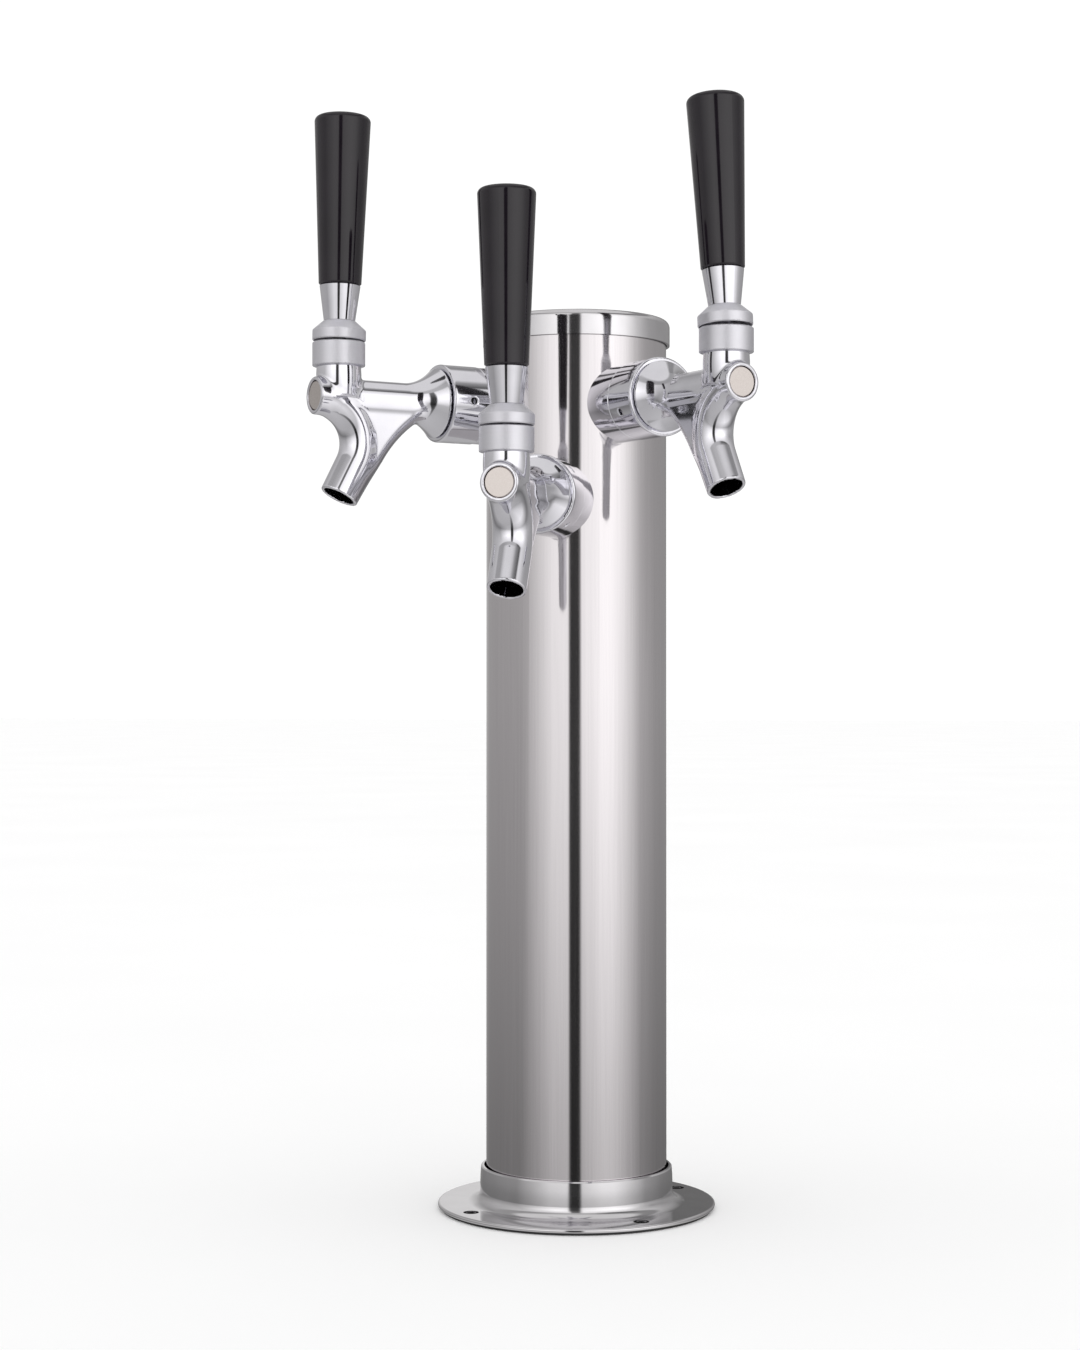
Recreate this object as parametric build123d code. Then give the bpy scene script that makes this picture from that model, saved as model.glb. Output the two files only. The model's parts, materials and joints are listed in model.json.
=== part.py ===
from build123d import *
import os
from math import asin, cos, radians, sin, sqrt, tan

# Three-faucet beer tower: a round column on a bolt-down flange, with three lever faucets.
# Millimetres, +Z up. The origin is on the column's axis, at the underside of the base gasket.
# The front faucet points along -Y. The other two are turned 45 degrees to each side of it.

# Column, base and cap.
COLUMN_R = 38.1
COLUMN_WALL = 1.5
COLUMN_TOP = 372.4
GASKET_THICK = 1.0
FLANGE_R = 58.5
FLANGE_THICK = 1.8
FLANGE_LIP_R = 34.0
COLLAR_R = 40.7
COLLAR_NECK_R = 40.3
COLLAR_MOUTH_R = 39.0
COLLAR_TOP = 18.0
COLLAR_FILLET = 5.0
BOLT_CIRCLE_R = 50.8
BOLT_HOLE_R = 3.25
CAP_R = 39.6
CAP_WALL = 1.2
CAP_BOTTOM = 364.0
CAP_TOP = 375.0
CAP_CROWN = 0.5
CAP_SEAL_THICK = 1.2
SLEEVE_BORE_R = 22.0
SLEEVE_GAP = 0.1
SLEEVE_TOP = 252.0

# Faucets: the height and heading of each one, how far its lever leans back at rest, and how far
# round its coupling nut has turned when it is tight.
FAUCETS = {
    "left": {"height": 336.0, "heading": -135.0, "lean": 1.0, "nut_turn": 0.0},
    "center": {"height": 296.5, "heading": -90.0, "lean": 0.0, "nut_turn": 40.0},
    "right": {"height": 336.0, "heading": -45.0, "lean": 4.5, "nut_turn": 23.0},
}

# A faucet is drawn with X outward from the column's axis and Z above the barrel's axis.
# Shank, its flange on the column, its nut, and the elbow that the beer line pushes onto.
SHANK_R = 11.0
SHANK_BORE_R = 4.8
SHANK_INNER_END = 20.0
SHANK_HEAD_R = 13.3
SHANK_HEAD_END = 57.0
SHANK_POCKET_START = 54.0
FLANGE_RING_R = 15.8
FLANGE_RING_END = 50.6
LOCKNUT_R = 15.0
LOCKNUT_THICK = 7.0
LOCKNUT_FLAT = 13.6
ELBOW_AXIS = 14.0
ELBOW_R = 6.0
ELBOW_BORE_R = 3.0
ELBOW_TAIL_R = 5.4
ELBOW_TAIL_BORE_R = 2.8
ELBOW_SPIGOT = 7.0
BARB_COUNT = 3
BARB_PITCH = 5.0
BARB_START = -14.0
BARB_ROOT_R = 4.0
BARB_CREST_R = 4.9

# Coupling nut and gasket.
NUT_R = 16.0
NUT_END = 67.0
NUT_LIP_START = 62.0
NUT_LIP_R = 12.2
NUT_HOLE_R = 1.4
NUT_HOLE_AT = 58.0
NUT_HOLES = 4
COUPLING_GASKET_THICK = 1.5

# Faucet body: a turned barrel with a bell at its back, a neck on top and a hooked spout.
BODY_START = SHANK_HEAD_END + COUPLING_GASKET_THICK
BODY_COLLAR_R = 13.2
BODY_SPIGOT_R = 12.1
BELL_START = 67.5
BELL_R = 15.0
BELL_MIDDLE = (73.2, 11.3)
BELL_FOOT = 80.0
BARREL_R = 7.7
BARREL_FRONT_R = 7.4
BARREL_END = 122.5
CHAMBER_R = 9.0
SEAT_AT = 72.0
STEM_BORE_R = 5.0
GUIDE_BORE_START = 96.0
GUIDE_BORE_R = 4.5
GUIDE_BORE_END = 119.5
PLUG_R = 5.8
PLUG_END = 122.0
SPOUT_CENTRE = (121.0, -18.5)
SPOUT_BEND_R = 18.4
SPOUT_BEND_START = 90.0
SPOUT_BEND_END = 208.0
SPOUT_BORE_START = 165.0
SPOUT_STRAIGHT = 14.6
SPOUT_R = 7.6
SPOUT_MOUTH_R = 7.75
SPOUT_BORE_R = 6.4
WEB_THICK = 12.0
WEB_EDGE_R = 4.5
WEB_START = (74.4, -7.0)
WEB_MIDDLE = (85.0, -15.2)
WEB_TURN = (92.8, -25.5)
WEB_END = (97.6, -33.0)
PORT_R = 4.0
PORT_TOP = (91.0, -1.0)
PORT_BOTTOM = (102.5, -17.5)

# Lever: a ball in the neck, with a finger below it and the stem above it.
PIVOT_U = 111.5
PIVOT_W = 15.0
BALL_R = 6.6
SOCKET_R = 6.65
NECK_R = 8.6
FINGER_R = 1.7
FINGER_LENGTH = 13.0
FINGER_TIP_R = 1.9
FINGER_ROOM = 0.35
FINGER_SLOT_HALF = 2.3
MAX_TILT = 35.0
STEM_R = 2.8
STEM_THREAD_R = 4.0
STEM_TOP = 27.0
BALL_WASHER_R = 8.5
BALL_WASHER_THICK = 2.5
BONNET_R = 10.5
BONNET_BOTTOM = -2.8
BONNET_LIP = 2.6
BONNET_TOP = 6.4
BONNET_HOLE_R = 6.4
BONNET_MOUTH_R = 8.4
LEVER_COLLAR_R = 10.5
LEVER_COLLAR_BOTTOM = 7.9
LEVER_COLLAR_SHOULDER = 11.9
LEVER_COLLAR_TOP = 15.4
LEVER_COLLAR_HOLLOW_R = 12.6
FERRULE_TOP = 30.0
FERRULE_R = (6.3, 8.2)
FERRULE_STUD_R = 4.5
FERRULE_STUD_TOP = 45.0
GRIP_R = (8.6, 11.3)
GRIP_SHOULDER = 95.5
GRIP_TOP = 98.5

# Valve shaft: it slides in the barrel, and carries the rubber washer that shuts the valve.
SHAFT_R = 4.4
SHAFT_START = 105.2
SHAFT_END = 117.8
SHAFT_STEM_R = 2.5
SHAFT_NUT_R = 5.2
SHAFT_NUT_THICK = 3.0
SHAFT_SLOT_HALF = 3.3
SHAFT_SLOT_FLOOR = -0.8
SEAT_WASHER_R = 7.0
SEAT_WASHER_THICK = 3.45
SEAT_GAP = 0.05


def turned(profile, axis):
    """The solid that a closed profile in the XZ plane makes when it turns about an axis."""
    return revolve(make_face(Plane.XZ * profile), axis)


def outline(*points):
    """A closed outline through the points, with straight sides."""
    return Polyline(*points, close=True)


def crown(radius, edge, top):
    """The arc of a shallow dome, from its edge up to its top on the axis."""
    rise = top - edge
    dome_r = (radius**2 + rise**2) / (2 * rise)
    half = asin(radius / dome_r) / 2
    return ThreePointArc((radius, edge), (dome_r * sin(half), top - dome_r * (1 - cos(half))), (0, top))


def disc_x(radius, start, end):
    """A cylinder about the X axis, from start to end."""
    return Pos(start, 0, 0) * Rot(0, 90, 0) * extrude(Circle(radius), end - start)


def disc_z(radius, start, end):
    """A cylinder about the Z axis, from start to end."""
    return Pos(0, 0, start) * extrude(Circle(radius), end - start)


def ring_x(outer, inner, start, end):
    return disc_x(outer, start, end) - disc_x(inner, start, end)


def ring_z(outer, inner, start, end):
    return disc_z(outer, start, end) - disc_z(inner, start, end)


def bolt_holes(bottom, top):
    """The four fixing holes of the base, at 45 degrees to the front."""
    hole = disc_z(BOLT_HOLE_R, bottom, top)
    return [Rot(0, 0, turn) * Pos(BOLT_CIRCLE_R, 0, 0) * hole for turn in (45, 135, 225, 315)]


# Column, base and cap


def column_tube():
    """The column, with a hole through its wall for each shank."""
    bottom = GASKET_THICK + FLANGE_THICK
    tube = ring_z(COLUMN_R, COLUMN_R - COLUMN_WALL, bottom, COLUMN_TOP)
    for faucet in FAUCETS.values():
        hole = disc_x(SHANK_R, SHANK_INNER_END, FLANGE_RING_END)
        tube -= Pos(0, 0, faucet["height"]) * Rot(0, 0, faucet["heading"]) * hole
    return tube


def base_flange():
    """A spun flange: a plate, a rounded corner, and a collar that closes in to grip the column."""
    bottom = GASKET_THICK
    top = GASKET_THICK + FLANGE_THICK
    edge = FLANGE_THICK / 2
    corner_x = COLLAR_R + COLLAR_FILLET
    corner_z = top + COLLAR_FILLET
    dip = COLLAR_FILLET * (1 - sqrt(0.5))
    profile = Polyline((FLANGE_LIP_R, bottom), (FLANGE_R - edge, bottom))
    profile += ThreePointArc((FLANGE_R - edge, bottom), (FLANGE_R, bottom + edge), (FLANGE_R - edge, top))
    profile += Line((FLANGE_R - edge, top), (corner_x, top))
    profile += ThreePointArc((corner_x, top), (COLLAR_R + dip, top + dip), (COLLAR_R, corner_z))
    profile += TangentArc((COLLAR_R, corner_z), (COLLAR_NECK_R, COLLAR_TOP - 0.5), tangent=(0, 1))
    profile += Polyline(
        (COLLAR_NECK_R, COLLAR_TOP - 0.5),
        (COLLAR_NECK_R - 0.5, COLLAR_TOP),
        (COLLAR_MOUTH_R, COLLAR_TOP),
        (COLUMN_R, COLLAR_TOP - 6),
        (COLUMN_R, top),
        (FLANGE_LIP_R, top),
        (FLANGE_LIP_R, bottom),
    )
    flange = turned(profile, Axis.Z)
    for hole in bolt_holes(bottom, top):
        flange -= hole
    return flange


def base_gasket():
    """The soft ring under the flange."""
    gasket = ring_z(FLANGE_R - 1.5, FLANGE_LIP_R, 0, GASKET_THICK)
    for hole in bolt_holes(0, GASKET_THICK):
        gasket -= hole
    return gasket


def top_cap():
    """A pressed cap with a rounded edge, a slightly crowned top and a skirt over the column."""
    corner = 3.0
    dip = corner * (1 - sqrt(0.5))
    inner_r = CAP_R - CAP_WALL
    edge_top = CAP_TOP - CAP_CROWN
    ceiling = COLUMN_TOP + CAP_SEAL_THICK
    profile = Polyline((0, ceiling), (inner_r, ceiling), (inner_r, CAP_BOTTOM), (CAP_R, CAP_BOTTOM))
    profile += Line((CAP_R, CAP_BOTTOM), (CAP_R, edge_top - corner))
    profile += ThreePointArc(
        (CAP_R, edge_top - corner), (CAP_R - dip, edge_top - dip), (CAP_R - corner, edge_top)
    )
    profile += crown(CAP_R - corner, edge_top, CAP_TOP)
    profile += Line((0, CAP_TOP), (0, ceiling))
    return turned(profile, Axis.Z)


def cap_seal():
    """The flat ring that the cap rests on the column with."""
    return ring_z(COLUMN_R, COLUMN_R - 4, COLUMN_TOP, COLUMN_TOP + CAP_SEAL_THICK)


def insulation_sleeve():
    """The foam that lines the column below the shanks, round the beer lines."""
    outer = COLUMN_R - COLUMN_WALL - SLEEVE_GAP
    return ring_z(outer, SLEEVE_BORE_R, GASKET_THICK + FLANGE_THICK, SLEEVE_TOP)


# The way from the column to the faucet


def shank():
    """The tube through the column's wall, with a thread for the locknut and one for the nut."""
    body = disc_x(SHANK_R, SHANK_INNER_END, FLANGE_RING_END)
    body += disc_x(SHANK_HEAD_R, FLANGE_RING_END, SHANK_HEAD_END)
    body -= disc_x(SHANK_BORE_R, SHANK_INNER_END, SHANK_POCKET_START)
    body -= disc_x(CHAMBER_R, SHANK_POCKET_START, SHANK_HEAD_END)
    return body


def shank_flange():
    """The ring between the column and the coupling nut, cut to sit on the round column."""
    ring = ring_x(FLANGE_RING_R, SHANK_R, 30, FLANGE_RING_END)
    ring = chamfer(ring.edges().group_by(Axis.X)[-1].sort_by(Edge.length)[-1], 0.5)
    return ring - disc_z(COLUMN_R, -30, 30)


def shank_locknut():
    """A round nut with two flats, tightened against the inside of the column."""
    inside = sqrt((COLUMN_R - COLUMN_WALL) ** 2 - LOCKNUT_R**2)
    nut = ring_x(LOCKNUT_R, SHANK_R, inside - LOCKNUT_THICK, inside)
    flats = Pos(inside, 0, 0) * Box(4 * LOCKNUT_THICK, 3 * LOCKNUT_R, 2 * LOCKNUT_FLAT)
    return nut & flats


def tail_elbow():
    """The elbow in the shank's inner end, with a barbed tail that points down."""
    points = [(0, 0), (ELBOW_TAIL_R, 0), (ELBOW_TAIL_R, BARB_START)]
    bottom = BARB_START
    for _ in range(BARB_COUNT):
        points.append((BARB_CREST_R, bottom))
        bottom -= BARB_PITCH
        points.append((BARB_ROOT_R, bottom))
    tail = turned(outline(*points, (0, bottom)), Axis.Z) - disc_z(ELBOW_TAIL_BORE_R, bottom, 0)
    elbow = disc_x(ELBOW_R, ELBOW_AXIS - ELBOW_R, SHANK_INNER_END)
    elbow += disc_x(SHANK_BORE_R, SHANK_INNER_END, SHANK_INNER_END + ELBOW_SPIGOT)
    elbow += Pos(ELBOW_AXIS, 0, 0) * disc_z(ELBOW_TAIL_R, BARB_START, 0)
    elbow -= disc_x(ELBOW_BORE_R, ELBOW_AXIS, SHANK_INNER_END + ELBOW_SPIGOT)
    elbow -= Pos(ELBOW_AXIS, 0, 0) * disc_z(ELBOW_TAIL_BORE_R, BARB_START, 0)
    return elbow + Pos(ELBOW_AXIS, 0, 0) * (tail & disc_z(ELBOW_R, bottom, BARB_START))


def coupling_nut():
    """The nut that pulls the faucet onto the shank, with holes for a spanner's pin."""
    profile = outline(
        (FLANGE_RING_END, SHANK_HEAD_R),
        (FLANGE_RING_END, NUT_R - 0.6),
        (FLANGE_RING_END + 0.6, NUT_R),
        (NUT_END - 0.8, NUT_R),
        (NUT_END, NUT_R - 0.8),
        (NUT_END, NUT_LIP_R),
        (NUT_LIP_START, NUT_LIP_R),
        (NUT_LIP_START, SHANK_HEAD_R),
    )
    nut = turned(profile, Axis.X)
    for hole in range(NUT_HOLES):
        drill = disc_z(NUT_HOLE_R, SHANK_HEAD_R - 0.5, NUT_R + 1)
        nut -= Rot(hole * 360 / NUT_HOLES, 0, 0) * Pos(NUT_HOLE_AT, 0, 0) * drill
    return nut


def coupling_gasket():
    """The rubber ring between the shank and the faucet."""
    return ring_x(BODY_COLLAR_R, CHAMBER_R, SHANK_HEAD_END, BODY_START)


# Faucet body


def spout_point(turn):
    """A point of the spout's centre line, at an angle about the middle of its bend."""
    x = SPOUT_CENTRE[0] + SPOUT_BEND_R * cos(radians(turn))
    z = SPOUT_CENTRE[1] + SPOUT_BEND_R * sin(radians(turn))
    return x, z


def spout_bend(radius, start):
    """A round rod along the spout's bend, from an angle to the bend's end."""
    middle = (start + SPOUT_BEND_END) / 2
    path = Plane.XZ * ThreePointArc(spout_point(start), spout_point(middle), spout_point(SPOUT_BEND_END))
    return sweep(Plane(origin=path @ 0, z_dir=path % 0) * Circle(radius), path)


def spout_straight(start_radius, end_radius, extra=0):
    """The straight part of the spout after its bend, which leans forward."""
    x, z = spout_point(SPOUT_BEND_END)
    down = (-sin(radians(SPOUT_BEND_END)), 0, cos(radians(SPOUT_BEND_END)))
    length = SPOUT_STRAIGHT + extra
    rod = turned(outline((0, 0), (start_radius, 0), (end_radius, length), (0, length)), Axis.Z)
    return Plane(origin=(x, 0, z), z_dir=down) * rod


def barrel():
    """The turned part of the faucet's body, with the bell behind it."""
    profile = Polyline(
        (BODY_START, 0),
        (BODY_START, BODY_COLLAR_R),
        (NUT_LIP_START, BODY_COLLAR_R),
        (NUT_LIP_START, BODY_SPIGOT_R),
        (BELL_START, BODY_SPIGOT_R),
        (BELL_START, BELL_R),
        (BELL_START + 0.5, BELL_R),
    )
    profile += ThreePointArc((BELL_START + 0.5, BELL_R), (71.2, 13.9), BELL_MIDDLE)
    profile += ThreePointArc(BELL_MIDDLE, (75.6, 8.95), (BELL_FOOT, BARREL_R))
    profile += Polyline(
        (BELL_FOOT, BARREL_R),
        (BARREL_END - 0.6, BARREL_FRONT_R),
        (BARREL_END, BARREL_FRONT_R - 0.6),
        (BARREL_END, 0),
        (BODY_START, 0),
    )
    return turned(profile, Axis.X)


def web():
    """The rib between the barrel and the spout, with rounded edges at the back."""
    profile = ThreePointArc(WEB_START, WEB_MIDDLE, WEB_TURN)
    profile += Polyline(WEB_TURN, WEB_END, (105, -24), (105, 0), (WEB_START[0], 0), WEB_START)
    rib = extrude(make_face(Plane.XZ * profile), WEB_THICK / 2, both=True)
    edges = []
    for point in (WEB_MIDDLE, ((WEB_TURN[0] + WEB_END[0]) / 2, (WEB_TURN[1] + WEB_END[1]) / 2)):
        for side in (-1, 1):
            spot = Vector(point[0], side * WEB_THICK / 2, point[1])
            edges.append(min(rib.edges(), key=lambda edge: edge.distance_to(spot)))
    return fillet(edges, WEB_EDGE_R)


def faucet_body():
    """The whole casting: barrel, neck, web and spout, with the beer's way through it."""
    body = barrel() + web()
    body += spout_bend(SPOUT_R, SPOUT_BEND_START) + spout_straight(SPOUT_R, SPOUT_MOUTH_R)
    body += Pos(PIVOT_U, 0, 0) * disc_z(NECK_R, 0, PIVOT_W)
    body -= Pos(PIVOT_U, 0, PIVOT_W) * Sphere(SOCKET_R)
    body -= disc_x(CHAMBER_R, BODY_START, SEAT_AT)
    body -= disc_x(STEM_BORE_R, SEAT_AT, GUIDE_BORE_START)
    body -= disc_x(GUIDE_BORE_R, GUIDE_BORE_START, GUIDE_BORE_END)
    body -= disc_x(PLUG_R, GUIDE_BORE_END, BARREL_END)
    body -= spout_bend(SPOUT_BORE_R, SPOUT_BORE_START)
    body -= spout_straight(SPOUT_BORE_R, SPOUT_BORE_R, extra=1)
    return body - port() - finger_slot()


def port():
    """The slanted hole from the barrel's bore down into the spout."""
    run = (PORT_BOTTOM[0] - PORT_TOP[0], 0, PORT_BOTTOM[1] - PORT_TOP[1])
    length = Vector(*run).length
    return Plane(origin=(PORT_TOP[0], 0, PORT_TOP[1]), z_dir=run) * disc_z(PORT_R, 0, length)


def finger_slot():
    """The room that the lever's finger swings in, from the ball down to the shaft's bore."""
    tilt = radians(MAX_TILT)
    room = FINGER_TIP_R + FINGER_ROOM
    front = PIVOT_U + SHAFT_SLOT_HALF
    back = PIVOT_U - FINGER_LENGTH * sin(tilt) - room
    back_top = PIVOT_W - (PIVOT_U - back - room / cos(tilt)) / tan(tilt)
    top = (PIVOT_U - room * cos(tilt), PIVOT_W + room * sin(tilt))
    side = make_face(Plane.XZ * outline((front, 0), (front, PIVOT_W), top, (back, back_top), (back, 0)))
    return extrude(side, FINGER_SLOT_HALF, both=True)


def guide_plug():
    """The plug that closes the front of the barrel, set a little back from its edge."""
    plug = disc_x(PLUG_R, GUIDE_BORE_END, PLUG_END)
    return chamfer(plug.edges().group_by(Axis.X)[-1], 0.3)


# Valve


def valve_shaft():
    """The sliding shaft: a guide with the finger's slot, and a thin stem to the washer."""
    tail = SEAT_AT - SEAT_GAP - SEAT_WASHER_THICK - SHAFT_NUT_THICK
    shaft = disc_x(SHAFT_STEM_R, tail, SHAFT_START) + disc_x(SHAFT_R, SHAFT_START, SHAFT_END)
    slot_height = 2 * SHAFT_R
    slot = Pos(PIVOT_U, 0, SHAFT_SLOT_FLOOR + slot_height / 2)
    return shaft - slot * Box(2 * SHAFT_SLOT_HALF, 3 * SHAFT_R, slot_height)


def seat_washer():
    """The rubber washer that the beer's pressure holds against the seat."""
    end = SEAT_AT - SEAT_GAP
    return ring_x(SEAT_WASHER_R, SHAFT_STEM_R, end - SEAT_WASHER_THICK, end)


def shaft_nut():
    """The nut that holds the washer on the shaft."""
    end = SEAT_AT - SEAT_GAP - SEAT_WASHER_THICK
    nut = extrude(RegularPolygon(SHAFT_NUT_R, 6), SHAFT_NUT_THICK)
    nut = Pos(end - SHAFT_NUT_THICK, 0, 0) * Rot(0, 90, 0) * nut
    return nut - disc_x(SHAFT_STEM_R, end - SHAFT_NUT_THICK, end)


# Lever: these pieces are drawn upright, with the ball's centre at the origin


def ball_lever():
    """The ball, the finger that moves the shaft, and the stem that carries the handle."""
    finger = disc_z(FINGER_R, -FINGER_LENGTH, 0) + Pos(0, 0, -FINGER_LENGTH) * Sphere(FINGER_TIP_R)
    stem = disc_z(STEM_R, 0, LEVER_COLLAR_HOLLOW_R)
    thread = disc_z(STEM_THREAD_R, LEVER_COLLAR_HOLLOW_R, STEM_TOP)
    return Sphere(BALL_R) + finger + stem + thread


def ball_washer():
    """The ring above the ball, with a round seat for it, which the bonnet presses down."""
    return disc_z(BALL_WASHER_R, 0, BALL_WASHER_THICK) - Sphere(SOCKET_R)


def bonnet():
    """The nut round the neck that holds the ball in place."""
    profile = outline(
        (NECK_R, BONNET_BOTTOM),
        (BONNET_R - 0.7, BONNET_BOTTOM),
        (BONNET_R, BONNET_BOTTOM + 0.7),
        (BONNET_R, BONNET_TOP - 0.6),
        (BONNET_R - 0.6, BONNET_TOP),
        (BONNET_MOUTH_R, BONNET_TOP),
        (BONNET_HOLE_R, BONNET_LIP),
        (NECK_R, BONNET_LIP),
    )
    return turned(profile, Axis.Z)


def lever_collar():
    """The round skirt on the lever, hollow below so that it swings clear of the bonnet."""
    profile = outline(
        (STEM_THREAD_R, LEVER_COLLAR_BOTTOM),
        (LEVER_COLLAR_R - 0.3, LEVER_COLLAR_BOTTOM),
        (LEVER_COLLAR_R, LEVER_COLLAR_BOTTOM + 0.3),
        (LEVER_COLLAR_R, LEVER_COLLAR_SHOULDER),
        (FERRULE_R[0] + 0.2, LEVER_COLLAR_TOP),
        (STEM_THREAD_R, LEVER_COLLAR_TOP),
    )
    return turned(profile, Axis.Z) - Sphere(LEVER_COLLAR_HOLLOW_R)


def handle_ferrule():
    """The metal sleeve that screws onto the stem, with a stud up into the grip."""
    profile = outline(
        (STEM_THREAD_R, LEVER_COLLAR_TOP),
        (FERRULE_R[0], LEVER_COLLAR_TOP),
        (FERRULE_R[1], FERRULE_TOP - 0.6),
        (FERRULE_R[1] - 0.6, FERRULE_TOP),
        (FERRULE_STUD_R, FERRULE_TOP),
        (FERRULE_STUD_R, FERRULE_STUD_TOP),
        (0, FERRULE_STUD_TOP),
        (0, STEM_TOP),
        (STEM_THREAD_R, STEM_TOP),
    )
    return turned(profile, Axis.Z)


def handle_grip():
    """The tapered plastic grip, wider at its domed top."""
    shoulder = (GRIP_R[1], GRIP_SHOULDER)
    rim = (GRIP_R[1] - 2.6, GRIP_TOP - 0.7)
    profile = Polyline(
        (0, FERRULE_STUD_TOP),
        (FERRULE_STUD_R, FERRULE_STUD_TOP),
        (FERRULE_STUD_R, FERRULE_TOP),
        (GRIP_R[0] - 0.5, FERRULE_TOP),
        (GRIP_R[0], FERRULE_TOP + 0.5),
        shoulder,
    )
    profile += ThreePointArc(shoulder, (GRIP_R[1] - 0.75, GRIP_TOP - 1.3), rim)
    profile += crown(*rim, GRIP_TOP)
    profile += Line((0, GRIP_TOP), (0, FERRULE_STUD_TOP))
    return turned(profile, Axis.Z)


TOWER_PIECES = {
    "column_tube": column_tube,
    "base_flange": base_flange,
    "base_gasket": base_gasket,
    "top_cap": top_cap,
    "cap_seal": cap_seal,
    "insulation_sleeve": insulation_sleeve,
}
FAUCET_PIECES = {
    "shank": shank,
    "shank_flange": shank_flange,
    "shank_locknut": shank_locknut,
    "tail_elbow": tail_elbow,
    "coupling_nut": coupling_nut,
    "coupling_gasket": coupling_gasket,
    "faucet_body": faucet_body,
    "guide_plug": guide_plug,
    "valve_shaft": valve_shaft,
    "seat_washer": seat_washer,
    "shaft_nut": shaft_nut,
}
NECK_PIECES = {"ball_washer": ball_washer, "bonnet": bonnet}
LEVER_PIECES = {
    "ball_lever": ball_lever,
    "lever_collar": lever_collar,
    "handle_ferrule": handle_ferrule,
    "handle_grip": handle_grip,
}


def build():
    """Every piece by its name, each in its place on the tower."""
    pieces = {name: make() for name, make in TOWER_PIECES.items()}
    pivot = Pos(PIVOT_U, 0, PIVOT_W)
    drawn = {name: make() for name, make in FAUCET_PIECES.items()}
    drawn |= {name: pivot * make() for name, make in NECK_PIECES.items()}
    levers = {name: make() for name, make in LEVER_PIECES.items()}
    for side, faucet in FAUCETS.items():
        place = Pos(0, 0, faucet["height"]) * Rot(0, 0, faucet["heading"])
        leaning = pivot * Rot(0, -faucet["lean"], 0)
        for name, piece in drawn.items():
            pieces[f"{name}_{side}"] = place * piece
        for name, piece in levers.items():
            pieces[f"{name}_{side}"] = place * leaning * piece
        nut = drawn["coupling_nut"]
        pieces[f"coupling_nut_{side}"] = place * Rot(faucet["nut_turn"], 0, 0) * nut
    return pieces


os.makedirs("parts", exist_ok=True)
for name, piece in build().items():
    export_step(piece, f"parts/{name}.step")
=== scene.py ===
import json
import math

import bpy
import numpy as np
from mathutils import Matrix, Vector


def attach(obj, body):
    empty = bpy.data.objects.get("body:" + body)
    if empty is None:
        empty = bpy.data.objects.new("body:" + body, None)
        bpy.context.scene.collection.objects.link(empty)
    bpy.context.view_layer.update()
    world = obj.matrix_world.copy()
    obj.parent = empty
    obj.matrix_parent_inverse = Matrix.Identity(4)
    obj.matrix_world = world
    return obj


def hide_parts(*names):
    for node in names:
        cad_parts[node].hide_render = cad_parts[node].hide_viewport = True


# The looks of a three-faucet beer tower. The column, cap, flange, ferrules, grips and inner pieces
# keep the CAD's own meshes. The castings, coupling nuts and neck rings get finer ones here.

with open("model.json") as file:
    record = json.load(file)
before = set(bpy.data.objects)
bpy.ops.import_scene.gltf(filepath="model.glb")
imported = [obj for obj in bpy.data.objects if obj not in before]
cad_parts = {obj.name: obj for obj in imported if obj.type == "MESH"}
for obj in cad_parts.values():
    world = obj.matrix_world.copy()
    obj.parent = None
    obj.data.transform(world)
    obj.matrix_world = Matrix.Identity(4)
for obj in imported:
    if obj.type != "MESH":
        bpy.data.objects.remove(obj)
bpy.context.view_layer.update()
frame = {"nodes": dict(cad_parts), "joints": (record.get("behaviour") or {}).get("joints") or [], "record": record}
JOINTS = {joint["name"]: joint for joint in frame["joints"]}
SIDES = ("left", "center", "right")

# Blender works in metres, and the shapes below are drawn in millimetres. A faucet is drawn with X
# outward from the column's axis, Z above the barrel's axis, and its origin on the column's axis.
# PIVOT_UP is how far the lever's pivot is above the barrel's axis, and LEVER_TILT is how far from
# upright a lever leans, in degrees, when its faucet is fully open.
MM = 0.001
PIVOT_UP = 15.0
LEVER_TILT = 35.0
# How far each coupling nut has turned, in degrees, when it is tight.
NUT_TURNS = {"left": 0.0, "center": 40.0, "right": 23.0}

# The camera stands a little to the right of the front faucet, level with the column's middle.
CAMERA_AT = Vector((0.2492, -1.0183, 0.2164))
CAMERA_PITCH = math.radians(90.459)
CAMERA_TURN = math.radians(14.592)
CAMERA_LENS = 65.95
FLOOR_SIZE = 40.0


# Frames


def faucet_frame(side):
    """Where a faucet's own frame stands, from its lever's joint."""
    joint = JOINTS[f"lever_{side}"]
    pivot = Vector(joint["pos_m"])
    heading = math.atan2(-joint["axis"][0], joint["axis"][1])
    height = pivot.z - PIVOT_UP * MM
    return Matrix.Translation((0, 0, height)) @ Matrix.Rotation(heading, 4, "Z")


# Mesh makers


def mesh_data(name, points, faces, normals):
    """A smooth mesh from its points in millimetres and its own normals."""
    mesh = bpy.data.meshes.new(name)
    mesh.from_pydata((np.asarray(points) * MM).tolist(), [], faces)
    mesh.polygons.foreach_set("use_smooth", [True] * len(mesh.polygons))
    mesh.normals_split_custom_set_from_vertices(np.asarray(normals).tolist())
    return mesh


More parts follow.
